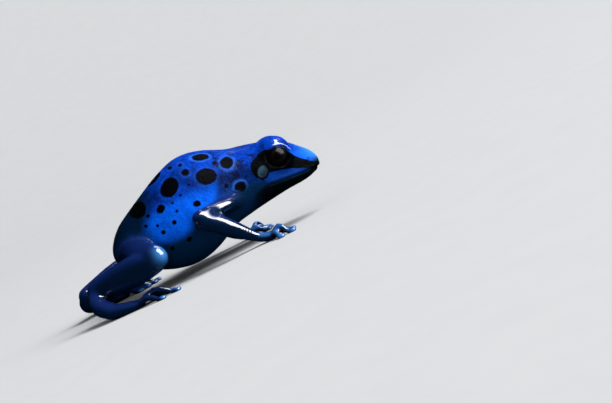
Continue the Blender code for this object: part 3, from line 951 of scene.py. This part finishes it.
def wrist_folds(places):
    """How near each point lies to a wrist, and how far along the forearm it lies."""
    wrists = np.zeros(len(places))
    along = np.zeros(len(places))
    for side in SIDES:
        away = places - sided(WRIST, side)
        wrist = bell(np.linalg.norm(away - arm_shift(side), axis=1), WRIST_HALF)
        wrists = np.maximum(wrists, wrist)
        along = np.where(places[:, 1] * SIDES[side] > 0, away @ sided(ARM_WAY, side), along)
    return wrists, along


def mark_skin(skin):
    """Stores where each colour of the skin lies, as shares and as distances in millimetres."""
    places, normals = points_of(skin)
    x, y, z = places.T
    owners = nearest_solids(skin)
    limb = np.array([float(name.startswith(LIMBS + DIGITS)) for name in owners])
    limb = spread(skin, limb, LIMB_BLEND)
    trunk = 1 - limb
    tree = surface(skin, places)
    spots, rings = spot_edges(tree, places)
    patch = patch_edge(places)
    navy, dusk_and_shade, jaw_shade = trunk_shades(places, trunk)
    wrists, along = wrist_folds(places)
    turn = np.degrees(np.arctan2(abs(y), z - MIDDLE_LINE))
    neck = step(x, *NECK_REAR) * (1 - step(x, *NECK_FRONT))
    mottled = np.maximum(MOTTLE_FLANK + MOTTLE_BACK * (1 - step(turn, *MOTTLE_END)), neck)
    for name, values in {
        "spot": np.minimum(spots + FAR * step(limb, *SPOT_END), patch),
        "ring": np.where(patch < spots, 0, rings) * trunk * (1 - navy),
        "navy": navy,
        "dusk_and_shade": dusk_and_shade,
        "jaw_shade": jaw_shade,
        "limb": limb,
        "back": (1 - step(turn, *BACK_END)) * trunk,
        # Painted sheen on the limbs where the skin faces up.
        "painted_sheen": limb * step(normals[:, 2], *LIMB_TOP),
        "pale_and_highlight": pale_and_highlight_share(skin, places, normals, owners, limb),
        "drum": drum_share(places),
        "cloud": cloud_share(tree, places) * trunk,
        "mottled": mottled * trunk,
        "film": film_share(places, limb, spots),
        "wrist": wrists,
        "along": along,
    }.items():
        set_share(skin, name, values)


def add(tree, kind, sockets=None, **settings):
    """Adds a node, sets its settings, and fills or links its sockets."""
    node = tree.nodes.new(kind)
    for name, value in settings.items():
        setattr(node, name, value)
    for name, value in (sockets or {}).items():
        if isinstance(value, bpy.types.NodeSocket):
            tree.links.new(value, node.inputs[name])
        else:
            node.inputs[name].default_value = value
    return node


def product(tree, first, second):
    """Two numbers multiplied."""
    return add(tree, "ShaderNodeMath", {0: first, 1: second}, operation="MULTIPLY").outputs[0]


def ramp(tree, value, low, high, start, end, kind="LINEAR"):
    """A number that goes from start to end as value goes from low to high."""
    sockets = {"Value": value, "From Min": low, "From Max": high, "To Min": start, "To Max": end}
    return add(tree, "ShaderNodeMapRange", sockets, interpolation_type=kind).outputs["Result"]


def new_material(name):
    """An empty node material with its shader, and the tree that they stand in."""
    material = bpy.data.materials.new(name)
    material.use_nodes = True
    return material, material.node_tree, material.node_tree.nodes["Principled BSDF"]


def skin_material(settings):
    """Moist frog skin: blue pigment under fine grains, and a wet film that glints on the limbs."""
    material, tree, shader = new_material("moist_granular_frog_skin")
    place = add(tree, "ShaderNodeTexCoord").outputs["Object"]
    share = {
        name: add(tree, "ShaderNodeAttribute", attribute_name=name).outputs["Fac"]
        for name in SHARES
    }
    wave, mottle, freckle = (
        add(
            tree, "ShaderNodeTexNoise", {"Vector": place, "Scale": 1 / (size * MM), "Detail": 2.0}
        ).outputs["Fac"]
        for size in (EDGE_WAVE, MOTTLE, FRECKLE)
    )
    grains = add(
        tree, "ShaderNodeTexVoronoi",
        {"Vector": place, "Scale": 1 / (GRAIN * MM), "Smoothness": 0.5}, feature="SMOOTH_F1",
    ).outputs["Distance"]

    # The edges of the spots waver by about a quarter of a millimetre.
    edge = add(
        tree, "ShaderNodeMath", {0: wave, 1: EDGE_SWING, 2: -EDGE_SWING / 2},
        operation="MULTIPLY_ADD",
    )
    edge = add(tree, "ShaderNodeMath", {0: share["spot"], 1: edge.outputs[0]}, operation="ADD")
    spot = ramp(tree, edge.outputs[0], *SPOT_EDGE, 1.0, 0.0, "SMOOTHSTEP")
    halo = add(tree, "ShaderNodeValToRGB", {"Fac": edge.outputs[0]})
    for position, value in RING_PROFILE:
        stop = halo.color_ramp.elements.new(position)
        stop.color = (value, value, value, 1)
    halo.color_ramp.elements.remove(halo.color_ramp.elements[0])
    halo.color_ramp.elements.remove(halo.color_ramp.elements[-1])
    ring = product(tree, halo.outputs["Color"], share["ring"])

    # Soft dark mottles and finer freckles lie over the neck and back, and the grains are a
    # little paler at their middles.
    dark, speck = (
        ramp(tree, noise, low, high, 0.0, most, "SMOOTHSTEP")
        for noise, low, high, most in ((mottle, *MOTTLE_RANGE), (freckle, *FRECKLE_RANGE))
    )
    dark = add(tree, "ShaderNodeMath", {0: dark, 1: speck}, operation="MAXIMUM").outputs[0]
    dark = product(tree, dark, share["mottled"])
    fleck = ramp(tree, grains, *FLECK_RANGE, 0.0)
    cloud = ramp(tree, wave, *CLOUD_RANGE)
    # Painted sheen on the upper sides of the limbs.
    painted_tops = product(tree, share["painted_sheen"], LIMB_PAINTED_SHEEN)

    # Painted light is among these layers: painted shade in the navy, the dusky blue and the
    # near-black, a painted sheen on the limb tops, and painted highlights in the pale blue.
    colour = settings.flank
    for paint, amount in (
        (settings.back, share["back"]),
        (settings.back, cloud),
        (settings.fleck, fleck),
        (settings.dusk_and_shade, share["dusk_and_shade"]),
        (settings.cloud, share["cloud"]),
        (settings.mottle, dark),
        (settings.navy, share["navy"]),
        (settings.jaw_shade, share["jaw_shade"]),
        (settings.limb, share["limb"]),
        (settings.painted_sheen, painted_tops),
        (settings.pale_and_highlight, share["pale_and_highlight"]),
        (settings.ring, ring),
        (settings.spot, spot),
        (settings.drum, share["drum"]),
    ):
        mix = add(tree, "ShaderNodeMix", {0: amount, MIX_B: paint}, data_type="RGBA")
        if isinstance(colour, bpy.types.NodeSocket):
            tree.links.new(colour, mix.inputs[MIX_A])
        else:
            mix.inputs[MIX_A].default_value = colour
        colour = mix.outputs[MIXED]
    tree.links.new(colour, shader.inputs["Base Color"])

    # The film is thin over the rough grains of the trunk and lies thick on the smooth limbs.
    rough = ramp(tree, share["film"], 0.0, 1.0, *ROUGHNESSES)
    height = product(tree, grains, ramp(tree, share["film"], 0.0, 1.0, *GRAIN_SHARES))
    folds = product(tree, share["along"], math.tau / FOLD)
    folds = add(tree, "ShaderNodeMath", {0: folds}, operation="SINE").outputs[0]
    folds = product(tree, folds, share["wrist"])
    height = add(
        tree, "ShaderNodeMath", {0: folds, 1: 0.5, 2: height}, operation="MULTIPLY_ADD"
    ).outputs[0]
    bump = add(
        tree, "ShaderNodeBump", {"Height": height, "Strength": 0.8, "Distance": GRAIN_HEIGHT * MM},
        invert=True,
    )
    tree.links.new(share["film"], shader.inputs["Coat Weight"])
    tree.links.new(rough, shader.inputs["Roughness"])
    tree.links.new(bump.outputs["Normal"], shader.inputs["Normal"])
    tree.links.new(bump.outputs["Normal"], shader.inputs["Coat Normal"])
    shader.inputs["Specular IOR Level"].default_value = 0.01
    shader.inputs["Coat Roughness"].default_value = 0.12
    shader.inputs["Coat IOR"].default_value = 1.6
    return material


def eye_material(settings):
    """Wet eyeball: a clear cornea over a dark bronze iris, which mirrors the light above."""
    material, tree, shader = new_material("wet_bronze_iris")
    pupil, rim = (
        add(tree, "ShaderNodeAttribute", attribute_name=name).outputs["Fac"]
        for name in ("pupil", "iris")
    )
    place = add(tree, "ShaderNodeTexCoord").outputs["Object"]
    streaks = add(
        tree, "ShaderNodeTexNoise",
        {"Vector": place, "Scale": 1 / (IRIS_STREAK * MM), "Detail": 3.0},
    ).outputs["Fac"]
    bronze = ramp(tree, streaks, *BRONZE_RANGE)
    outside = ramp(tree, pupil, *PUPIL_EDGE, 0.0, 1.0)
    seen = product(tree, outside, ramp(tree, rim, *IRIS_EDGE, 0.0, 1.0))
    gold = add(
        tree, "ShaderNodeMix", {0: bronze, MIX_A: settings.iris, MIX_B: settings.bronze},
        data_type="RGBA",
    ).outputs[MIXED]
    eye = add(
        tree, "ShaderNodeMix", {0: seen, MIX_A: settings.pupil, MIX_B: gold}, data_type="RGBA"
    ).outputs[MIXED]
    tree.links.new(eye, shader.inputs["Base Color"])
    shader.inputs["Roughness"].default_value = 0.3
    shader.inputs["Specular IOR Level"].default_value = 0.03
    shader.inputs["Coat Weight"].default_value = 0.12
    shader.inputs["Coat Roughness"].default_value = 0.03
    shader.inputs["Coat IOR"].default_value = 1.36
    return material


def mark_eye(eye, side):
    """Stores how far each point of an eyeball lies from its oval pupil and from its axis."""
    places = points_of(eye)[0]
    axis = unit(sided(EYE_AXIS, side))
    fore = unit(np.cross(axis, (0, 0, 1)))
    upright = np.cross(fore, axis)
    away = places - middle(f"eye_{side}")
    turned = math.radians(PUPIL_RISE) * SIDES[side]
    level = away @ (fore * math.cos(turned) + upright * math.sin(turned))
    rise = away @ (upright * math.cos(turned) - fore * math.sin(turned))
    long, tall = PUPIL_HALVES
    out = away @ axis
    pupil = np.where(out > 0, (np.hypot(level / long, rise / tall) - 1) * tall, FAR)
    set_share(eye, "pupil", pupil)
    set_share(eye, "iris", np.where(out > 0, np.hypot(level, rise), FAR))


class FROG_OT_skin(bpy.types.Operator):
    """Makes one skin over all the solids of flesh"""

    bl_idname = "frog.skin"
    bl_label = "Make skin"

    def execute(self, context):
        settings = context.scene.frog_skin
        skin = make_skin_mesh(settings.grain)
        mark_skin(skin)
        skin.data.materials.clear()
        skin.data.materials.append(skin_material(settings))
        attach(skin, "root")
        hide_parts(*flesh_nodes())
        return {"FINISHED"}


class FROG_OT_eyes(bpy.types.Operator):
    """Makes both eyeballs"""

    bl_idname = "frog.eyes"
    bl_label = "Make eyes"

    def execute(self, context):
        settings = context.scene.frog_eyes
        material = eye_material(settings)
        for side in SIDES:
            shape = bmesh.new()
            bmesh.ops.create_uvsphere(
                shape, u_segments=settings.segments, v_segments=settings.segments // 2,
                radius=EYE_RADIUS * MM,
            )
            turn = Vector((0, 0, 1)).rotation_difference(Vector(sided(EYE_AXIS, side)))
            centre = Vector(middle(f"eye_{side}")) * MM
            place = Matrix.Translation(centre) @ turn.to_matrix().to_4x4()
            bmesh.ops.transform(shape, matrix=place, verts=shape.verts)
            eye = to_object(shape, f"eyeball_{side}")
            eye.data.shade_smooth()
            mark_eye(eye, side)
            eye.data.materials.append(material)
            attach(eye, "root")
            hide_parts(f"eye_{side}")
        return {"FINISHED"}


class FROG_OT_stage(bpy.types.Operator):
    """Makes the floor, the lights and the camera"""

    bl_idname = "frog.stage"
    bl_label = "Make stage"

    def execute(self, context):
        settings = context.scene.frog_stage
        make_floor(settings)
        make_lights(settings)
        make_camera(settings)
        return {"FINISHED"}


class FROG_PT_panel(bpy.types.Panel):
    """Lists the frog's pieces and their settings"""

    bl_label = "Frog"
    bl_idname = "FROG_PT_panel"
    bl_space_type = "VIEW_3D"
    bl_region_type = "UI"
    bl_category = "Frog"

    def draw(self, context):
        layout = self.layout
        for group, operator in GROUPS:
            settings = getattr(context.scene, group)
            for name in settings.__annotations__:
                layout.prop(settings, name)
            layout.operator(operator.bl_idname)


def make_floor(settings):
    """A pale floor that sweeps up into a low wall all round."""
    sweep = bmesh.new()
    bmesh.ops.create_circle(
        sweep, cap_ends=True, segments=SWEEP_SEGMENTS, radius=settings.floor_radius
    )
    rim = [edge for edge in sweep.edges if edge.is_boundary]
    for k in range(SWEEP_STEPS):
        turn = SWEEP_TURN * (k + 1) / SWEEP_STEPS
        made = bmesh.ops.extrude_edge_only(sweep, edges=rim)["geom"]
        rim = [item for item in made if isinstance(item, bmesh.types.BMEdge)]
        radius = settings.floor_radius + settings.bend * math.sin(turn)
        for vert in (item for item in made if isinstance(item, bmesh.types.BMVert)):
            flat = Vector((vert.co.x, vert.co.y, 0)).normalized() * radius
            vert.co = (flat.x, flat.y, settings.bend * (1 - math.cos(turn)))
    bmesh.ops.recalc_face_normals(sweep, faces=sweep.faces)
    floor = to_object(sweep, "studio_floor")
    floor.data.shade_smooth()
    floor.data.materials.append(floor_material(settings))
    floor.visible_glossy = False


def floor_material(settings):
    """Matt paper: pale, dull, with the faint cloudiness of its fibres."""
    material, tree, shader = new_material("matt_studio_paper")
    place = add(tree, "ShaderNodeTexCoord").outputs["Object"]
    clouds = add(
        tree, "ShaderNodeTexNoise",
        {"Vector": place, "Scale": 1 / (PAPER_CLOUD * MM), "Detail": 4.0},
    )
    tone = add(
        tree, "ShaderNodeMix",
        {0: clouds.outputs["Fac"], MIX_A: settings.paper, MIX_B: settings.paper_shade},
        data_type="RGBA",
    )
    tree.links.new(tone.outputs[MIXED], shader.inputs["Base Color"])
    shader.inputs["Roughness"].default_value = 0.95
    shader.inputs["Specular IOR Level"].default_value = 0.0
    return material


def make_lights(settings):
    """A soft light above, a wide weak one by the camera, two that only shine, and a sky."""
    for name, toward, long_way, away, size, power in (
        ("key", KEY_WAY, KEY_LONG_WAY, LIGHT_DISTANCE, KEY_SIZE, settings.key_power),
        ("fill", FILL_WAY, LEVEL_WAY, LIGHT_DISTANCE, FILL_SIZE, settings.fill_power),
        ("strip", STRIP_WAY, STRIP_LONG_WAY, STRIP_DISTANCE, STRIP_SIZE, settings.strip_power),
        ("rim", RIM_WAY, LEVEL_WAY, STRIP_DISTANCE, RIM_SIZE, settings.rim_power),
    ):
        light = bpy.data.lights.new(name, "AREA")
        light.shape = "RECTANGLE"
        light.energy = power
        light.size, light.size_y = size
        lamp = bpy.data.objects.new(name, light)
        back = Vector(toward).normalized()
        up = back.cross(Vector(long_way)).normalized()
        turn = Matrix((up.cross(back), up, back)).transposed()
        lamp.matrix_world = Matrix.Translation(back * away) @ turn.to_4x4()
        lamp.visible_camera = False
        lamp.visible_diffuse = name in ("key", "fill")
        lamp.visible_glossy = name in ("strip", "rim")
        bpy.context.scene.collection.objects.link(lamp)
    world = bpy.data.worlds.new("pale_studio")
    world.use_nodes = True
    background = world.node_tree.nodes["Background"]
    background.inputs["Color"].default_value = linear(SKY)
    background.inputs["Strength"].default_value = settings.sky
    world.cycles_visibility.glossy = False
    bpy.context.scene.world = world
    bpy.context.scene.view_settings.view_transform = "Standard"


def make_camera(settings):
    """The camera of the photograph: level with the frog's right side, and leaning."""
    turn, rise = CAMERA_TURN, CAMERA_RISE
    level = math.cos(rise)
    ahead = Vector((-math.sin(turn) * level, math.cos(turn) * level, -math.sin(rise)))
    right = Vector((math.cos(turn), math.sin(turn), 0))
    up = right.cross(ahead)
    lean_right = right * math.cos(settings.roll) - up * math.sin(settings.roll)
    lean_up = right * math.sin(settings.roll) + up * math.cos(settings.roll)
    place = Matrix((lean_right, lean_up, -ahead)).transposed().to_4x4()
    place.translation = Vector(CAMERA_AIM) * MM - ahead * settings.distance
    camera = bpy.data.objects.new("camera", bpy.data.cameras.new("camera"))
    camera.data.lens = CAMERA_LENS
    camera.data.clip_start = MM
    camera.matrix_world = place
    bpy.context.scene.collection.objects.link(camera)
    bpy.context.scene.camera = camera


GROUPS = (
    ("frog_skin", FROG_OT_skin),
    ("frog_eyes", FROG_OT_eyes),
    ("frog_stage", FROG_OT_stage),
)
CLASSES = (FrogSkin, FrogEyes, FrogStage, FROG_OT_skin, FROG_OT_eyes, FROG_OT_stage, FROG_PT_panel)


def register():
    """Registers the classes and gives the scene its settings."""
    for cls in CLASSES:
        bpy.utils.register_class(cls)
    bpy.types.Scene.frog_skin = PointerProperty(type=FrogSkin)
    bpy.types.Scene.frog_eyes = PointerProperty(type=FrogEyes)
    bpy.types.Scene.frog_stage = PointerProperty(type=FrogStage)


def unregister():
    """Takes the settings and classes away again."""
    for group, _ in GROUPS:
        delattr(bpy.types.Scene, group)
    for cls in reversed(CLASSES):
        bpy.utils.unregister_class(cls)


def corners(box):
    """A box's two corners as plain lists."""
    return [[float(value) for value in corner] for corner in box]


def main():
    """Makes every piece."""
    register()
    bpy.ops.frog.skin()
    bpy.ops.frog.eyes()
    bpy.ops.frog.stage()


if __name__ == "__main__":
    main()
